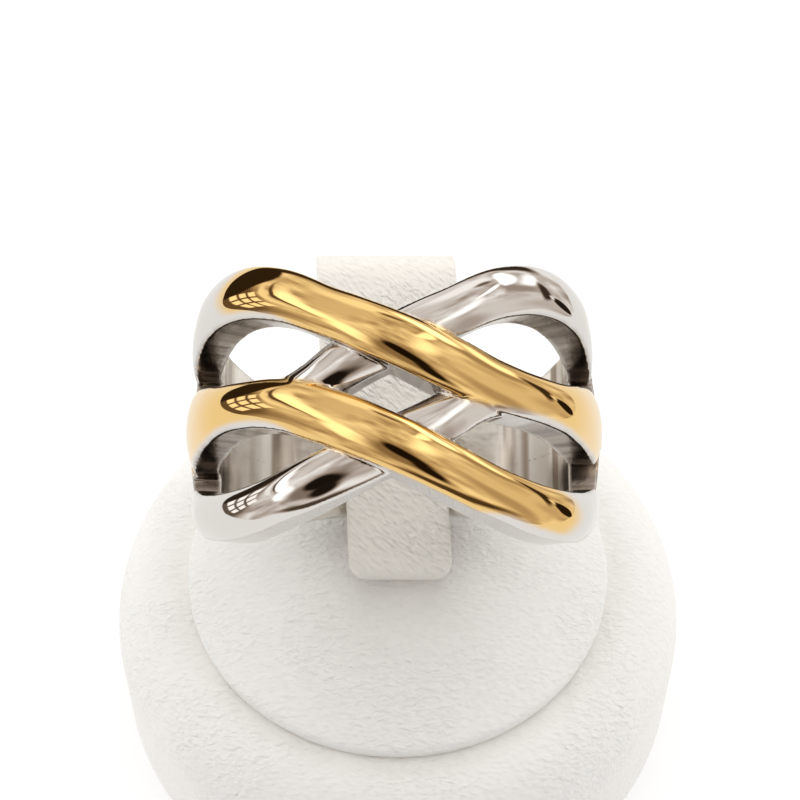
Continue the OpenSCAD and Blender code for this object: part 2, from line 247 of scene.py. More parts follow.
def ringTree():
    # how far a point is from the whole ring, and how golden the metal is there
    tree, given, result = newTree(
        "ringField", {"Position": "Vector", **sizeSockets}, {"Distance": "Float", "Gold": "Float"})
    n = partial(addNode, tree)
    sizes = {name: given[name] for name in sizeSockets}
    x, along, z = n("ShaderNodeSeparateXYZ", (given["Position"],)).node.outputs
    angle = n("DEGREES", (n("ARCTAN2", (x, z)),))
    radius = n("SQRT", (n("ADD", (n("MULTIPLY", (x, x)), n("MULTIPLY", (z, z)))),))
    boreRadius = n("MULTIPLY", (given["Finger Diameter"], 0.5))
    height = n("SUBTRACT", (radius, boreRadius))
    turnedAngle = n("MULTIPLY", (angle, -1))
    turnedAlong = n("MULTIPLY", (along, -1))
    trees = {
        "upper": bandTree("upperBand", ring["upper"], 1), "lower": bandTree("lowerBand", ring["lower"], -1)}
    bands = {}
    for level, group in trees.items():
        for turn, where in enumerate(((angle, along), (turnedAngle, turnedAlong))):
            place = {"Angle": where[0], "Along": where[1], "Height": height}
            swapped = (level == "lower") != bool(turn)
            place["Crest Shift"] = n("MULTIPLY", (sizes["Crest Shift"], -1 if swapped else 1))
            bands[level, turn] = n("GeometryNodeGroup", {**sizes, **place}, node_tree=group).node.outputs
    upper = n("MINIMUM", (bands["upper", 0]["Distance"], bands["upper", 1]["Distance"]))
    lower = n("MINIMUM", (bands["lower", 0]["Distance"], bands["lower", 1]["Distance"]))
    side = n("ABSOLUTE", (angle,))
    fillet = n("ShaderNodeMapRange", (
        side, *ring["filletAngles"], ring["creaseFillet"], ring["shoulderFillet"]), **softly)
    head = n("SMOOTH_MIN", (upper, lower, fillet))
    # the shank
    below = n("SUBTRACT", (side, given["Slot End"]))
    share = n("ShaderNodeMapRange", (below, 0, ring["shank"][-1][0], 0, 1))
    spread = n("MULTIPLY", (
        readColumn(tree, ring["shank"], 1, share),
        n("SUBTRACT", (given["Head Width"], given["Shank Width"]))))
    half = n("MULTIPLY", (n("ADD", (spread, given["Shank Width"])), 0.5))
    wall = n("MULTIPLY", (readColumn(tree, ring["shank"], 2, share), given["Shank Wall"]))
    crown = n("MULTIPLY", (readColumn(tree, ring["shank"], 3, share), given["Shank Wall"]))
    halfRound, up = addSection(n, along, half, wall, crown, height)
    start = n("MULTIPLY", (below, n("MULTIPLY", (radius, -perDegree))))
    shank = n("MAXIMUM", (halfRound, start))
    whole = n("SMOOTH_MIN", (head, shank, ring["shankFillet"]))
    # the square slot ends
    slant = n("MULTIPLY", (given["Slot End"], perDegree))
    rise = n("SUBTRACT", (
        n("MULTIPLY", (z, n("SINE", (slant,)))),
        n("MULTIPLY", (n("ABSOLUTE", (x,)), n("COSINE", (slant,))))))
    upright = n("MAXIMUM", (n("SUBTRACT", (-ring["slotBite"], rise)), n("SUBTRACT", (rise, ring["slotReach"]))))
    for turn, inner, outer in ring["slots"]:
        centre = n("MULTIPLY", (given["Head Width"], (inner + outer) / 2))
        wide = n("MULTIPLY", (given["Head Width"], abs(outer - inner) / 2))
        slot = n("MAXIMUM", (
            n("MAXIMUM", (n("SUBTRACT", (n("ABSOLUTE", (n("SUBTRACT", (along, centre)),)), wide)), upright)),
            n("MULTIPLY", (x, -turn))))
        whole = n("SMOOTH_MAX", (whole, n("MULTIPLY", (slot, -1)), ring["slotRound"]))
    whole = n("SMOOTH_MAX", (whole, n("MULTIPLY", (height, -1)), ring["boreRound"]))
    tree.links.new(whole, result["Distance"])
    # gold lies on the domes of the upper bands, fades out on their outer shoulders and stays off their walls
    gold, golds = ring["gold"], []
    for turn, own in ((0, angle), (1, turnedAngle)):
        band = bands["upper", turn]
        climb = n("ARCTAN2", (band["Up"], n("ABSOLUTE", (band["Across"],))))
        onDome = n("ShaderNodeMapRange", (climb, *gold["climb"], 0, 1), **softly)
        # at the front it stops short of the edge, except where the bands cross
        front = n("MULTIPLY", (band["Across"], 1 if turn else -1))
        border = n("ADD", (
            n("ShaderNodeMapRange", (n("ABSOLUTE", (own,)), *gold["border"]), **softly),
            n("ShaderNodeMapRange", (own, *gold["borderEnd"]), **softly)))
        short = n("ShaderNodeMapRange", (
            n("SUBTRACT", (border, front)), -gold["borderSoft"], gold["borderSoft"], 0, 1), **softly)
        onDome = n("MULTIPLY", (onDome, short))
        bulge = n("MULTIPLY", (n("MULTIPLY", (band["Across"], band["Across"])), gold["haloRound"]))
        outerEnd = n("ShaderNodeMapRange", (n("SUBTRACT", (own, bulge)), *gold["halo"][turn], 0, 1), **softly)
        innerEnd = n("ShaderNodeMapRange", (own, *gold["innerEnd"], 1, 0), **softly)
        over = n("ShaderNodeMapRange", (n("SUBTRACT", (lower, band["Distance"])), *gold["over"], 0, 1))
        laid = n("MULTIPLY", (n("MULTIPLY", (onDome, over)), n("MULTIPLY", (outerEnd, innerEnd))))
        spare = n("ShaderNodeMapRange", (own, *gold["spare"]), **softly)
        near = n("ShaderNodeMapRange", (n("SUBTRACT", (band["Distance"], spare)), *gold["near"], 1, 0))
        golds.append(n("MULTIPLY", (laid, near)))
    tree.links.new(n("MAXIMUM", tuple(golds)), result["Gold"])
    return tree


def ringBuilder():
    # finds the surface on a grid, draws its points onto the true shape and stores its normals
    tree, given, result = newTree(
        "crossoverRing",
        {"Geometry": "Geometry", **sizeSockets, "Voxel": "Float", "Material": "Material"},
        {"Geometry": "Geometry"})
    n = partial(addNode, tree)
    sizes = {name: given[name] for name in sizeSockets}
    field = ringTree()
    low, high = Vector(ring["gridLow"]), Vector(ring["gridHigh"])
    place = n("GeometryNodeInputPosition")
    there = n("GeometryNodeGroup", {**sizes, "Position": place}, node_tree=field)
    inside = n("ShaderNodeMapRange", (there, -0.5, 0.5, 1, 0))
    counts = [n("DIVIDE", (high[i] - low[i], given["Voxel"])) for i in range(3)]
    grid = n("GeometryNodeVolumeCube", (inside, 0, low, high, *counts))
    mesh = n("GeometryNodeVolumeToMesh", {"Volume": grid, "Threshold": 0.5}, resolution_mode="GRID")

    def gradient(step):
        # slope of the distance over a small step each way
        slopes = []
        for axis in range(3):
            pair = []
            for sign in (1, -1):
                move = [0, 0, 0]
                move[axis] = sign * step
                moved = n("ShaderNodeVectorMath", (place, tuple(move)), operation="ADD")
                pair.append(n("GeometryNodeGroup", {**sizes, "Position": moved}, node_tree=field))
            slopes.append(n("DIVIDE", (n("SUBTRACT", tuple(pair)), 2 * step)))
        return n("ShaderNodeCombineXYZ", tuple(slopes))

    slope = gradient(ring["slopeStep"])
    pull = ring["farthestPull"]
    for _ in range(ring["pulls"]):
        squared = n("ShaderNodeVectorMath", (slope, slope), operation="DOT_PRODUCT").node.outputs["Value"]
        share = n("DIVIDE", (there, n("MAXIMUM", (squared, ring["leastSlope"]))))
        back = n("MAXIMUM", (-pull, n("MINIMUM", (pull, n("MULTIPLY", (share, -1))))))
        offset = n("ShaderNodeVectorMath", {0: slope, "Scale": back}, operation="SCALE")
        mesh = n("GeometryNodeSetPosition", {"Geometry": mesh, "Offset": offset})
    normal = n("ShaderNodeVectorMath", (gradient(ring["normalStep"]),), operation="NORMALIZE")
    mesh = n("GeometryNodeStoreNamedAttribute", {
        "Geometry": mesh, "Name": "fieldNormal", "Value": normal}, data_type="FLOAT_VECTOR")
    mesh = n("GeometryNodeStoreNamedAttribute", {
        "Geometry": mesh, "Name": "gold", "Value": there.node.outputs["Gold"]})
    mesh = n("GeometryNodeRealizeInstances", (mesh,))
    mesh = n("GeometryNodeSetMaterial", {"Geometry": mesh, "Material": given["Material"]})
    tree.links.new(mesh, result["Geometry"])
    return tree


def runTree(name, tree, values, collection):
    # a plain mesh from a Geometry Nodes tree with its inputs set
    holder = newPiece(name, bpy.data.meshes.new(name), collection)
    modifier = holder.modifiers.new(name, "NODES")
    modifier.node_group = tree
    for item in tree.interface.items_tree:
        if item.in_out == "INPUT" and item.name in values:
            modifier[item.identifier] = values[item.name]
    graph = bpy.context.evaluated_depsgraph_get()
    graph.update()
    made = bpy.data.meshes.new_from_object(
        holder.evaluated_get(graph), preserve_all_data_layers=True, depsgraph=graph)
    holder.modifiers.clear()
    holder.data = made
    return holder


# Two-tone jeweller's gold, cast, plated and polished: sharp reflections, a warm tone on the upper bands
# that runs out softly, and rough grey casting skin left in the slots where no wheel reaches.
# The bore's bright tone and its darker stripes are painted reflections.
ringMetal, tree, shader, n = newMaterial("polishedTwoToneGold")
tones = {
    "yellow": "#F1CC88", "palePlatingHighlight": "#F6DAAC", "white": "#E0DDDB",
    "castSkin": "#665A4F", "filedSkin": "#A99F95", "paintedBoreHighlight": "#FFFDFA", "paintedBoreStripe": "#AFA193",
}
finish = {
    "fileLines": 2.2, "fileLimits": (0.36, 0.64),  # filing leaves upright lines about 0.5 mm apart
    "paintedStripeNoise": 0.6, "paintedStripeLimits": (0.44, 0.56),  # painted darker reflection stripes about 1.5 mm wide, running along the finger
    "grit": 2400.0, "gritStrength": 0.4,  # casting grit of about 0.4 mm
    "wear": 420.0, "wearLimits": (0.3, 0.7),  # hand polishing leaves waves about 2.5 mm long
    "gloss": (0.02, 0.045), "wallRough": 0.16, "boreRough": 0.13, "skinShare": 0.92, "depth": 0.00003,
}
masks = {name: n("ShaderNodeAttribute", attribute_name=name).node.outputs["Fac"]
         for name in ("gold", "castWall", "shoulder", "bore", "paintedStripeSide")}
# place on the bore's cylinder, in millimetres
way = n("ShaderNodeAttribute", attribute_name="way").node.outputs["Vector"]
objectPlace = n("ShaderNodeTexCoord").node.outputs["Object"]
# the shoulders' paler tone is thinner plating and a painted highlight at once
yellow = n("ShaderNodeMix", {
    0: masks["shoulder"], 6: linear(tones["yellow"]), 7: linear(tones["palePlatingHighlight"])},
    **inColour).node.outputs[2]
polished = n("ShaderNodeMix", {
    0: masks["gold"], 6: linear(tones["white"]), 7: yellow}, **inColour).node.outputs[2]
fileLines = n("ShaderNodeTexNoise", {"Vector": way, "Scale": finish["fileLines"], "Detail": 3.0})
skinTone = n("ShaderNodeMix", {
    0: n("ShaderNodeMapRange", (fileLines, *finish["fileLimits"], 0, 1)),
    6: linear(tones["castSkin"]), 7: linear(tones["filedSkin"])}, **inColour).node.outputs[2]
skinShare = n("MULTIPLY", (masks["castWall"], finish["skinShare"]))
walls = n("ShaderNodeMix", {0: skinShare, 6: polished, 7: skinTone}, **inColour).node.outputs[2]
lengthways = n("ShaderNodeMapping", {"Vector": way, "Scale": (1, 0, 1)})
paintedStripeNoise = n("ShaderNodeTexNoise", {"Vector": lengthways, "Scale": finish["paintedStripeNoise"], "Detail": 1.0})
paintedStripeMask = n("ShaderNodeMapRange", (paintedStripeNoise, *finish["paintedStripeLimits"], 0, 1), **softly)
# painted reflection in the bore: a bright tone, with darker painted stripes on its sides
paintedBoreReflection = n("ShaderNodeMix", {
    0: n("MULTIPLY", (masks["paintedStripeSide"], paintedStripeMask)),
    6: linear(tones["paintedBoreHighlight"]), 7: linear(tones["paintedBoreStripe"])}, **inColour).node.outputs[2]
skin = n("ShaderNodeMix", {0: masks["bore"], 6: walls, 7: paintedBoreReflection}, **inColour).node.outputs[2]
grit = n("ShaderNodeTexNoise", {"Vector": objectPlace, "Scale": finish["grit"], "Detail": 3.0})
wear = n("ShaderNodeTexNoise", {"Vector": objectPlace, "Scale": finish["wear"], "Detail": 0.5})
gloss = n("ShaderNodeMapRange", (wear, *finish["wearLimits"], *finish["gloss"]))
rough = n("ADD", (gloss, n("ADD", (
    n("MULTIPLY", (masks["castWall"], finish["wallRough"])),
    n("MULTIPLY", (masks["bore"], finish["boreRough"]))))))
waves = n("ShaderNodeBump", {"Strength": 1.0, "Distance": finish["depth"], "Height": wear})
bump = n("ShaderNodeBump", {
    "Strength": finish["gritStrength"], "Distance": finish["depth"],
    "Height": n("MULTIPLY", (masks["castWall"], grit)), "Normal": waves})
for socket, value in (("Base Color", skin), ("Roughness", rough), ("Normal", bump)):
    tree.links.new(value, shader.inputs[socket])
shader.inputs["Metallic"].default_value = 1.0

ringPiece = runTree(
    "twoToneRing", ringBuilder(), {**ring["sizes"], "Voxel": ring["voxel"], "Material": ringMetal}, ringParts)
mesh = ringPiece.data
count = len(mesh.vertices)
normals = np.empty(count * 3, np.float32)
mesh.attributes["fieldNormal"].data.foreach_get("vector", normals)
normals = normals.reshape(-1, 3)
places = np.empty(count * 3, np.float32)
mesh.vertices.foreach_get("co", places)
places = places.reshape(-1, 3)
faceNormal = mesh.polygons[0].normal
if Vector(normals[mesh.polygons[0].vertices[0]]).dot(faceNormal) < 0:
    mesh.flip_normals()
    print("ring faces turned outwards")
print("ring:", count, "points,", sum(len(p.vertices) - 2 for p in mesh.polygons), "triangles")


def smoothStep(low, high, values):
    t = np.clip((values - low) / (high - low), 0, 1)
    return t * t * (3 - 2 * t)


# where the surface stands upright inside the slots, the casting skin stays; the shoulders' plating is paler,
# and their pale tone also holds a painted highlight.
# Limits as shares of facing outwards, angles from the middle of the head and places along the finger
maskLimits = {
    "upright": (0.45, 0.15), "castAngles": (30, 60), "castAtHead": 0.75, "castEnd": 96,
    "outerPlace": 4.2, "outerAngle": 40, "shoulder": (50, 66), "inward": (0.6, 0.85),
    "paintedStripeStart": (82, 96), "paintedStripeEnd": (152, 126),
}
boreRadius = ring["sizes"]["Finger Diameter"] / 2
radii = np.hypot(places[:, 0], places[:, 2])
angles = np.abs(np.degrees(np.arctan2(places[:, 0], places[:, 2])))
outward = (normals[:, 0] * places[:, 0] + normals[:, 2] * places[:, 2]) / radii
outerSide = (((np.abs(places[:, 1]) > maskLimits["outerPlace"]) | (angles < maskLimits["outerAngle"]))
             & (normals[:, 1] * places[:, 1] > 0))
castShare = maskLimits["castAtHead"]
castWall = (smoothStep(*maskLimits["upright"], np.abs(outward))
            * (castShare + (1 - castShare) * smoothStep(*maskLimits["castAngles"], angles))
            * (angles < maskLimits["castEnd"]) * ~outerSide)
shoulder = smoothStep(*maskLimits["shoulder"], angles)
bore = smoothStep(*maskLimits["inward"], -outward)
# the sides of the bore where the painted reflection stripes show
paintedStripeSide = smoothStep(*maskLimits["paintedStripeStart"], angles) * smoothStep(*maskLimits["paintedStripeEnd"], angles)
gold = np.empty(count, np.float32)
mesh.attributes["gold"].data.foreach_get("value", gold)
ends = np.empty(len(mesh.edges) * 2, np.int32)
mesh.edges.foreach_get("vertices", ends)
ends = ends.reshape(-1, 2)
around = np.bincount(ends.ravel(), minlength=count) + 1


def softened(values, passes):
    # values averaged with their neighbours, so that a mask's edge shows no steps of the grid
    for _ in range(passes):
        beside = (np.bincount(ends[:, 0], values[ends[:, 1]], count)
                  + np.bincount(ends[:, 1], values[ends[:, 0]], count))
        values = (values + beside) / around
    return values


mesh.attributes["gold"].data.foreach_set("value", softened(gold, 1).astype(np.float32))
for name, values in (("castWall", softened(castWall, 3)), ("shoulder", shoulder), ("bore", softened(bore, 2)),
                     ("paintedStripeSide", paintedStripeSide)):
    mesh.attributes.new(name, "FLOAT", "POINT").data.foreach_set("value", values.astype(np.float32))
way = np.stack((places[:, 0] / radii * boreRadius, places[:, 1], places[:, 2] / radii * boreRadius), 1)
mesh.attributes.new("way", "FLOAT_VECTOR", "POINT").data.foreach_set("vector", way.astype(np.float32).ravel())
mesh.attributes.remove(mesh.attributes["fieldNormal"])
place = (Matrix.Translation((-ring["left"] * mm, -ring["forward"] * mm, ring["height"] * mm))
         @ Matrix.Rotation(math.radians(ring["tilt"]), 4, "X")
         @ Matrix.Rotation(math.radians(-ring["lean"]), 4, "Y") @ Matrix.Scale(mm, 4))
turn = np.array(place.to_3x3().normalized())
mesh.transform(place)
mesh.polygons.foreach_set("use_smooth", [True] * len(mesh.polygons))
mesh.normals_split_custom_set_from_vertices((normals @ turn.T).tolist())
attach(ringPiece, "root")
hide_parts("ring")

# Coated leatherette (grained white PU film on cloth, wrapped over board): soft sheen, fine pebbles pressed
# in by a roller
leatherette = {
    "tone": "#F4F2EE", "goldBounceTone": "#F4EFE7", "shade": 0.97, "creaseShadeLimits": (0.35, 0.55),
    "pebble": 0.00022, "crease": 0.0003, "patch": 0.006,  # sizes in metres
    "pebbleLimits": (0.1, 0.6), "pebbleHeight": 0.2, "patchLimits": (0.44, 0.58), "creaseHeight": (0.15, 1.2),
    "roughness": 0.45, "roughSpread": 0.1, "reliefLimits": (0.2, 0.8),
}


def leatheretteMaterial(name, tone, turn, stretch, depth):
    # pebbles and fine creases in patches, drawn out by stretch along a direction turned about the upright; the
    # crease valleys get a painted shade
    material, tree, shader, n = newMaterial(name)
    objectPlace = n("ShaderNodeTexCoord").node.outputs["Object"]
    where = n("ShaderNodeMapping", {
        "Vector": objectPlace, "Rotation": (0, 0, math.radians(turn)), "Scale": stretch}, vector_type="TEXTURE")
    creases = n("ShaderNodeTexNoise", {
        "Vector": where, "Scale": 1 / leatherette["crease"], "Detail": 2.0, "Roughness": 0.5,
        "Distortion": 0.6})
    pebbles = n("ShaderNodeTexVoronoi", {
        "Vector": where, "Scale": 1 / leatherette["pebble"], "Smoothness": 1.0}, feature="SMOOTH_F1")
    domes = n("ShaderNodeMapRange", (pebbles, *leatherette["pebbleLimits"], 1, 0), **softly)
    patches = n("ShaderNodeTexNoise", {"Vector": objectPlace, "Scale": 1 / leatherette["patch"], "Detail": 1.0})
    amount = n("ShaderNodeMapRange", (
        patches, *leatherette["patchLimits"], *leatherette["creaseHeight"]), **softly)
    relief = n("ADD", (
        n("MULTIPLY", (domes, leatherette["pebbleHeight"])), n("MULTIPLY", (creases, amount))))
    bump = n("ShaderNodeBump", {"Strength": 1.0, "Distance": depth, "Height": relief})
    # painted shade: the tone darkens by a few per cent in the crease valleys
    paintedCreaseShade = n("ShaderNodeMix", {
        0: n("ShaderNodeMapRange", (creases, *leatherette["creaseShadeLimits"], 0, 1)),
        6: [c * leatherette["shade"] for c in linear(tone)], 7: linear(tone)}, **inColour).node.outputs[2]
    tree.links.new(paintedCreaseShade, shader.inputs["Base Color"])
    tree.links.new(bump, shader.inputs["Normal"])
    dull = leatherette["roughness"] + leatherette["roughSpread"]
    gloss = n("ShaderNodeMapRange", (relief, *leatherette["reliefLimits"], dull, leatherette["roughness"]))
    tree.links.new(gloss, shader.inputs["Roughness"])
    return material


grained = leatheretteMaterial(
    "grainedLeatherette", leatherette["tone"], turn=0, stretch=(1.8, 1, 1), depth=0.00011)
# the strip is the pad's leatherette; its warmer tone is painted warm light thrown on it by the gold ring
grainedStrip = leatheretteMaterial(
    "grainedLeatheretteStrip", leatherette["goldBounceTone"], turn=-42, stretch=(2.2, 0.9, 1), depth=0.0002)


def smoothMesh(name, points, faces, collection, material):
    mesh = bpy.data.meshes.new(name)
    mesh.from_pydata([Vector(p) * mm for p in points], [], faces)
    build = bmesh.new()
    build.from_mesh(mesh)
    bmesh.ops.remove_doubles(build, verts=build.verts, dist=1e-7)
    bmesh.ops.recalc_face_normals(build, faces=build.faces)
    build.to_mesh(mesh)
    build.free()
    mesh.polygons.foreach_set("use_smooth", [True] * len(mesh.polygons))
    return newPiece(name, mesh, collection, material)


def turned(profile, segments=192):
    # points and faces of a profile of (radius, height) turned about the upright axis
    points, faces = [], []
    for r, z in profile:
        for i in range(segments):
            a = 2 * math.pi * i / segments
            points.append((r * math.cos(a), r * math.sin(a), z))
    for j in range(len(profile) - 1):
        for i in range(segments):
            k = (i + 1) % segments
            faces.append((j * segments + i, j * segments + k, (j + 1) * segments + k, (j + 1) * segments + i))
    return points, faces


def arc(centre, radius, start, end, steps):
    turns = [math.radians(start + (end - start) * i / steps) for i in range(steps + 1)]
    return [(centre[0] + radius * math.cos(a), centre[1] + radius * math.sin(a)) for a in turns]


# The round base: a board wrapped in leatherette, with a broad soft upper edge
base = {
    "radius": 15.7, "height": 9.5, "edge": 3.4, "foot": 0.6, "sole": 8,
    "wallRows": (2.2, 4.0, 5.4), "topRows": (12, 11, 9, 6, 3, 0),  # heights on its wall and radii on its top
}
profile = [(0, 0), (base["sole"], 0)]
profile += arc((base["radius"] - base["foot"], base["foot"]), base["foot"], -90, 0, steps=8)
profile += [(base["radius"], z) for z in base["wallRows"]]
profile += arc((base["radius"] - base["edge"], base["height"] - base["edge"]), base["edge"], 0, 90, steps=24)
profile += [(r, base["height"]) for r in base["topRows"]]
basePiece = smoothMesh("wrappedBase", *turned(profile), standParts, grained)
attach(basePiece, "root")
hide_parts("base")

# The domed pad on it, its covering drawn tight and tucked under at the rim
pad = {
    "radius": 11.5, "height": 3.2, "edge": 0.7, "under": 9.55, "tuck": 0.34,
    "sole": 6, "rimInset": 0.07, "rimDrop": 0.15, "steps": 48,
}
rise = pad["height"] - pad["edge"]
cap = (pad["radius"] ** 2 + rise ** 2) / (2 * rise)  # radius of the dome's sphere
profile = [(0, pad["under"]), (pad["sole"], pad["under"])]
profile += arc((pad["radius"] - pad["tuck"], pad["under"] + pad["tuck"]), pad["tuck"], -90, 0, steps=8)
profile.append((pad["radius"], pad["under"] + pad["edge"] - pad["rimDrop"]))
for i in range(pad["steps"] + 1):
    r = (pad["radius"] - pad["rimInset"]) * (1 - i / pad["steps"])
    profile.append((r, pad["under"] + pad["height"] - cap + math.sqrt(cap ** 2 - r ** 2)))
padPiece = smoothMesh("domedPad", *turned(profile), standParts, grained)
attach(padPiece, "root")
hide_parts("pad")

# The clip: a covered strip that slopes up through the ring, bends down behind it and stands in the base
clip = {
    "thick": 1.6, "tipWidth": 5.4, "rootWidth": 7.6, "reach": 5.9, "bend": 0.6, "legY": 12.6,
    "corner": 0.9, "edgeRound": 0.24, "skew": 3.0, "sink": 2.9, "seatGap": 0.12,
    "tipRound": 0.3,  # the free end's first section is narrower by this much
    "widenFrom": 0.3, "widenOver": 1.1,  # shares of the reach, from in front of the ring's middle
    "tipSteps": 14, "slopeSteps": 40, "bendSteps": 16, "legSteps": 12, "edgeSteps": 6,
}
under = math.sqrt(boreRadius ** 2 - (clip["rootWidth"] / 2) ** 2) - clip["seatGap"]
tilt = math.radians(ring["tilt"])
bendY = clip["legY"] - clip["bend"]
bendAlong = (bendY + ring["forward"] - (under + clip["bend"]) * math.sin(tilt)) / math.cos(tilt)
bendZ = ring["height"] + bendAlong * math.sin(tilt) - (under + clip["bend"]) * math.cos(tilt)
footZ = base["height"] - clip["sink"]
mid = clip["thick"] / 2
bendRadius = clip["bend"] + mid
upward = (-math.sin(tilt), math.cos(tilt))


def onSlope(s):
    # place of the strip's middle line on its slope, s from the middle of the ring
    return (-ring["forward"] + s * math.cos(tilt) + (under - mid) * math.sin(tilt),
            ring["height"] + s * math.sin(tilt) - (under - mid) * math.cos(tilt))


def clipWidth(s):
    # the strip widens from its free end to behind the ring
    t = (s + clip["widenFrom"] * clip["reach"]) / (clip["widenOver"] * clip["reach"])
    return clip["tipWidth"] + (clip["rootWidth"] - clip["tipWidth"]) * min(max(t, 0), 1)


def roundedSection(width, thick):
    # outline of the strip's section with rounded long edges, from (across, up)
    outline, edge = [], clip["edgeRound"]
    for cx, cy, start in ((1, 1, 0), (-1, 1, 90), (-1, -1, 180), (1, -1, 270)):
        for j in range(clip["edgeSteps"] + 1):
            a = math.radians(start + 90 * j / clip["edgeSteps"])
            outline.append((
                cx * (width / 2 - edge) + edge * math.cos(a), cy * (thick / 2 - edge) + edge * math.sin(a)))
    return outline


# sections from the free end to the foot: place, direction of the upper side, width, thickness
sections = []
for i in range(clip["tipSteps"]):  # the free end: round in plan and soft in section
    a = math.pi / 2 * i / clip["tipSteps"]
    drawn = clip["corner"] * (1 - math.sin(a))
    s = -clip["reach"] + clip["corner"] * (1 - math.cos(a))
    soft = math.sqrt(1 - (1 - min(1.0, (s + clip["reach"]) / clip["edgeRound"])) ** 2)
    thick = clip["thick"] - 2 * clip["edgeRound"] * (1 - soft)
    width = clip["tipWidth"] - 2 * drawn - (clip["tipRound"] if i == 0 else 0)
    sections.append((onSlope(s), upward, width, thick))
for i in range(clip["slopeSteps"] + 1):
    s = -clip["reach"] + (clip["reach"] + bendAlong) * i / clip["slopeSteps"]
    if s >= -clip["reach"] + clip["corner"]:
        sections.append((onSlope(s), upward, clipWidth(s), clip["thick"]))
for i in range(1, clip["bendSteps"] + 1):
    a = math.pi / 2 + tilt - (math.pi / 2 + tilt) * i / clip["bendSteps"]
    out = (math.cos(a), math.sin(a))
    place = (bendY + bendRadius * out[0], bendZ + bendRadius * out[1])
    sections.append((place, out, clip["rootWidth"], clip["thick"]))
for i in range(1, clip["legSteps"] + 1):
    place = (bendY + bendRadius, bendZ + (footZ - bendZ) * i / clip["legSteps"])
    sections.append((place, (1.0, 0.0), clip["rootWidth"], clip["thick"]))

points = []
for (y, z), out, width, thick in sections:
    for across, up in roundedSection(width, thick):
        points.append((across, y + up * out[0], z + up * out[1]))
count = 4 * (clip["edgeSteps"] + 1)
faces = [(j * count + i, j * count + (i + 1) % count, (j + 1) * count + (i + 1) % count, (j + 1) * count + i)
         for j in range(len(sections) - 1) for i in range(count)]
faces += [tuple(range(count)), tuple(range((len(sections) - 1) * count, len(sections) * count))]
skew = math.tan(math.radians(clip["skew"]))
points = [(x - y * skew, y, z) for x, y, z in points]
clipPiece = smoothMesh("coveredClip", points, faces, standParts, grainedStrip)
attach(clipPiece, "root")
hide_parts("clip")
print("stand made")

# The studio: a white table top in a pale room, with soft lamps, a window at the left and the dark place of the
# camera. The room is drawn on the world, so that it shows in the polished metal.
# Each light or shade: azimuth from the camera's side towards +X and elevation of its middle, half sizes and
# turn in degrees, softness of its edge and brightness
studio = {
    "tableMiddle": (-60, 50), "tableReach": (160, 156), "tableGlow": 0.97, "tableTone": "#FFFDF9",
    "tableDrop": 0.02, "tableBase": "#E0E0E0", "tableRough": 0.8, "tableLift": 0.3,
    "room": "#FFFBF5", "dusk": "#FFD0A4", "duskPower": 0.65,  # what is dim in the room is brown
    "level": 0.78, "drift": 0.36, "driftLimits": (0.32, 0.68),
    "lights": [
        ("frontRight", 62, 20, 42, 40, 0, 0.6, 0.82),
        ("frontRightShade", 44, 16, 13, 42, 0, 0.7, 0.5),
        ("rightLow", 84, 0, 14, 16, 0, 0.8, 0.62),
        ("overheadLeft", -130, 60, 60, 16, 0, 0.8, 0.78),
        ("overheadRight", 66, 67, 50, 8, 0, 0.8, 1.6),
        ("backWall", 180, 42, 24, 14, 0, 0.5, 1.2),
        ("backRightLamp", 147, 30, 20, 8, -20, 0.4, 2.4),
        ("backRightStreak", 128, 54, 18, 5, -50, 0.5, 1.8),
        ("backRightShade", 162, 46, 12, 6, 20, 0.6, 0.2),
        ("backRightGlow", 134, 18, 15, 6, -25, 0.7, 1.8),
        ("backRightGap", 118, 26, 8, 14, -20, 0.8, 0.4),
        ("frontLeftSoftbox", -50, 33, 22, 13, -20, 0.4, 1.7),
        ("leftArc", -94, 38, 38, 7, 6, 0.6, 1.8),
        ("frontHaze", -12, 36, 33, 28, 0, 0.5, 0.27),
        ("camera", -9, 43, 23, 12, -26, 0.3, 0.012),
        ("cameraFoot", 2, 23, 10, 18, 14, 0.45, 0.015),
        ("frontGlow", -14, 9, 12, 6, 0, 0.8, 0.75),
        ("frontShade", 2, -8, 34, 9, 0, 0.5, 0.08),
        ("backShade", 180, 2, 34, 12, 0, 0.3, 0.04),
        ("leftPanel", -104, -2, 38, 27, 0, 0.3, 0.14),
        ("leftShade", -142, -2, 26, 26, 0, 0.06, 0.03),
        ("leftGlow", -104, 25.5, 31, 2.4, 4, 0.5, 1.1),
        ("leftLine", -106, 30.5, 36, 1.6, 5, 0.5, 0.12),
        ("rightShadeLow", 100, -8, 13, 6, 50, 0.12, 0.02),
        ("rightShadeHigh", 113, 9, 20, 5, 14, 0.4, 0.05),
        ("rightGlint", 107, 3, 5, 1.8, 30, 0.5, 1.0),
    ],
    # azimuth, elevation, half sizes, pitch of its bars both ways, brightness
    "window": (-98, 9, 20, 12, 13, 8, 1.3), "windowSoft": 0.8, "barShares": (0.07, 0.2),
    # light on the stand from the front and from behind and above, and how much each direction counts
    "fill": (0.1, 1.34), "lean": (0.7, 0.4, 0.62), "leanLimits": (-0.2, 1.0),
}


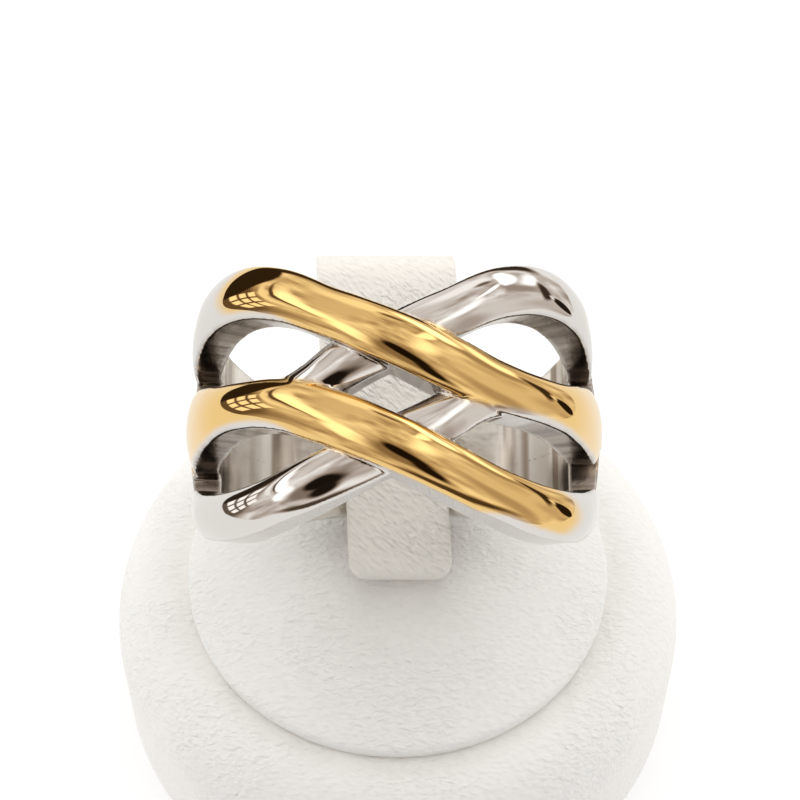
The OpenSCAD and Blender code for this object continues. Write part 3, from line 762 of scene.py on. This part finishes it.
def layPatch(n, azimuth, elevation, patch, value):
    # mixes one soft patch into the room's brightness
    _, a0, e0, halfWide, halfHigh, turn, soft, level = patch
    du = n("SUBTRACT", (n("ABSOLUTE", (azimuth,)), 180)) if a0 == 180 else n("SUBTRACT", (azimuth, a0))
    dv = n("SUBTRACT", (elevation, e0))
    c, d = math.cos(math.radians(turn)), math.sin(math.radians(turn))
    u = n("DIVIDE", (n("ADD", (n("MULTIPLY", (du, c)), n("MULTIPLY", (dv, d)))), halfWide))
    v = n("DIVIDE", (n("SUBTRACT", (n("MULTIPLY", (dv, c)), n("MULTIPLY", (du, d)))), halfHigh))
    far = n("SQRT", (n("ADD", (n("MULTIPLY", (u, u)), n("MULTIPLY", (v, v)))),))
    mask = n("ShaderNodeMapRange", (far, 1 - soft, 1 + soft * 0.5, 1, 0), interpolation_type="SMOOTHSTEP")
    return n("ShaderNodeMix", {0: mask, 2: value, 3: level})


points, faces = turned([(0, 0), (0.5, 0), (1, 0)], segments=96)
middle, reach = studio["tableMiddle"], studio["tableReach"]
points = [(middle[0] + reach[0] * x, middle[1] + reach[1] * y, -studio["tableDrop"]) for x, y, _ in points]
floor = smoothMesh("whiteTable", points, faces, stageParts, None)
tableTop, tree, shader, n = newMaterial("whiteTableTop")
shader.inputs["Base Color"].default_value = linear(studio["tableBase"])
shader.inputs["Roughness"].default_value = studio["tableRough"]
shader.inputs["Emission Color"].default_value = linear("#FFFFFF")
shader.inputs["Emission Strength"].default_value = studio["tableLift"]
glow = n("ShaderNodeEmission", (linear(studio["tableTone"]), studio["tableGlow"]))
mirrored = n("ShaderNodeLightPath").node.outputs["Is Glossy Ray"]
n("ShaderNodeOutputMaterial", (n("ShaderNodeMixShader", (mirrored, shader.outputs[0], glow)),))
tree.nodes.remove(tree.nodes["Material Output"])
floor.data.materials.append(tableTop)

world = bpy.data.worlds.new("paleRoom")
bpy.context.scene.world = world
world.use_nodes = True
tree = world.node_tree
tree.nodes.clear()
n = partial(addNode, tree)
direction = n("ShaderNodeTexCoord").node.outputs["Generated"]
x, y, z = n("ShaderNodeSeparateXYZ", (direction,)).node.outputs
azimuth = n("DEGREES", (n("ARCTAN2", (x, n("MULTIPLY", (y, -1)))),))
elevation = n("DEGREES", (n("ARCSINE", (z,)),))
drift = n("ShaderNodeTexNoise", {"Vector": direction, "Scale": 3.0, "Detail": 2.0})
value = n("ShaderNodeMapRange", (
    drift, *studio["driftLimits"], studio["level"] - studio["drift"], studio["level"] + studio["drift"]))
for patch in studio["lights"]:
    value = layPatch(n, azimuth, elevation, patch, value)
a0, e0, halfWide, halfHigh, wideBar, highBar, level = studio["window"]
mask = 1.0
for where, middle, half, pitch in ((azimuth, a0, halfWide, wideBar), (elevation, e0, halfHigh, highBar)):
    off = n("ABSOLUTE", (n("SUBTRACT", (where, middle)),))
    inside = n("ShaderNodeMapRange", (off, half - studio["windowSoft"], half + studio["windowSoft"], 1, 0))
    bar = n("PINGPONG", (n("SUBTRACT", (where, middle - half)), pitch / 2))
    panes = n("ShaderNodeMapRange", (bar, *(pitch * share for share in studio["barShares"]), 0, 1))
    mask = n("MULTIPLY", (mask, n("MULTIPLY", (inside, panes))))
value = n("ShaderNodeMix", {0: mask, 2: value, 3: level})
roomTone = n("ShaderNodeMix", {
    0: n("POWER", (n("MAXIMUM", (value, 0)), studio["duskPower"])),
    6: linear(studio["dusk"]), 7: linear(studio["room"])}, clamp_factor=True, **inColour).node.outputs[2]
room = n("ShaderNodeBackground", (roomTone, value))
leanX, leanY, leanZ = studio["lean"]
lean = n("ADD", (
    n("MULTIPLY", (n("ABSOLUTE", (x,)), leanX)),
    n("ADD", (n("MULTIPLY", (y, leanY)), n("MULTIPLY", (z, leanZ))))))
fill = n("ShaderNodeMapRange", (lean, *studio["leanLimits"], *studio["fill"]), **softly)
soft = n("ShaderNodeBackground", (linear("#FFFFFF"), fill))
plain = n("ShaderNodeBackground", (linear("#FFFFFF"), 1.0))
paths = n("ShaderNodeLightPath").node.outputs
lit = n("ShaderNodeMixShader", (paths["Is Diffuse Ray"], room, soft))
n("ShaderNodeOutputWorld", (n("ShaderNodeMixShader", (paths["Is Camera Ray"], lit, plain)),))

# The camera at the photograph's angle: it looks down by 52.5 degrees from 100 mm away
view = {"lens": 90.2, "sensor": 36, "clip": (0.001, 10), "place": (0.12, -59.9, 103.1), "down": 52.47}
camera = bpy.data.cameras.new("camera")
camera.lens = view["lens"]
camera.sensor_width = view["sensor"]
camera.clip_start, camera.clip_end = view["clip"]
cameraObject = bpy.data.objects.new("camera", camera)
stageParts.objects.link(cameraObject)
cameraObject.location = [length * mm for length in view["place"]]
cameraObject.rotation_euler = (math.radians(90 - view["down"]), 0, 0)
bpy.context.scene.camera = cameraObject
bpy.context.scene.view_settings.view_transform = "Standard"
print("studio made")
